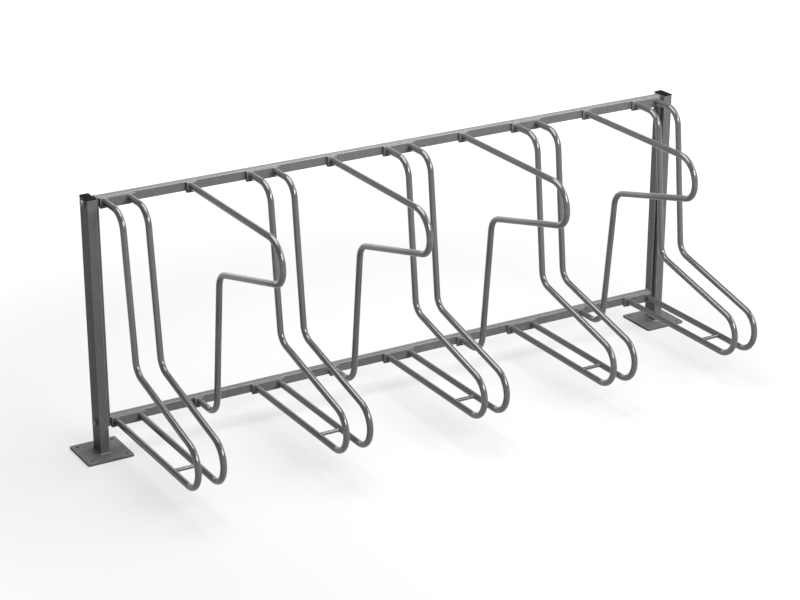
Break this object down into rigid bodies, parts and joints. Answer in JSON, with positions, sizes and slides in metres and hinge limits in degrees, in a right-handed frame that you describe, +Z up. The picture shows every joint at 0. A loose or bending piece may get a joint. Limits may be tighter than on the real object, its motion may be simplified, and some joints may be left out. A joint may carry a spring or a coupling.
{
  "type": "floor bike rack",
  "caption": "Single-sided row bike rack: pairs of bent tube hoops hold front wheels, lock bars stand between them, on two rails bolted between two floor posts.",
  "frame": {"origin": "on the floor, under the middle of the rack's bounding box", "axes": "+X along the row, left to right as seen from the side where bicycles come in; -Y towards the bicycles; +Z up"},
  "size_m": [2.24, 0.689, 0.83],
  "materials": {
    "frame_steel": "grey metallic coat over steel, satin",
    "tube_steel": "grey metallic coat over bent round tube, semi-gloss",
    "fasteners": "galvanised steel, semi-gloss",
    "cap_plastic": "black moulded plastic, fine grain"
  },
  "bodies": {
    "root": {"base_plate_left": "frame_steel", "base_plate_right": "frame_steel", "bolt_washers": "fasteners", "end_plate_left": "frame_steel", "end_plate_right": "frame_steel", "frame_bolts": "fasteners", "hoop_1_left": "tube_steel", "hoop_1_right": "tube_steel", "hoop_2_left": "tube_steel", "hoop_2_right": "tube_steel", "hoop_3_left": "tube_steel", "hoop_3_right": "tube_steel", "hoop_4_left": "tube_steel", "hoop_4_right": "tube_steel", "hoop_5_left": "tube_steel", "hoop_5_right": "tube_steel", "hoop_bracket_lower_1": "frame_steel", "hoop_bracket_lower_2": "frame_steel", "hoop_bracket_lower_3": "frame_steel", "hoop_bracket_lower_4": "frame_steel", "hoop_bracket_lower_5": "frame_steel", "hoop_bracket_upper_1": "frame_steel", "hoop_bracket_upper_2": "frame_steel", "hoop_bracket_upper_3": "frame_steel", "hoop_bracket_upper_4": "frame_steel", "hoop_bracket_upper_5": "frame_steel", "hoop_tie_1": "tube_steel", "hoop_tie_2": "tube_steel", "hoop_tie_3": "tube_steel", "hoop_tie_4": "tube_steel", "hoop_tie_5": "tube_steel", "lock_bar_1": "tube_steel", "lock_bar_2": "tube_steel", "lock_bar_3": "tube_steel", "lock_bar_4": "tube_steel", "lock_bracket_lower_1": "frame_steel", "lock_bracket_lower_2": "frame_steel", "lock_bracket_lower_3": "frame_steel", "lock_bracket_lower_4": "frame_steel", "lock_bracket_upper_1": "frame_steel", "lock_bracket_upper_2": "frame_steel", "lock_bracket_upper_3": "frame_steel", "lock_bracket_upper_4": "frame_steel", "post_cap_left": "cap_plastic", "post_cap_right": "cap_plastic", "post_left": "frame_steel", "post_right": "frame_steel", "post_spacers": "frame_steel", "rail_lower": "frame_steel", "rail_upper": "frame_steel", "weld_nuts": "fasteners"}
  },
  "joints": []
}
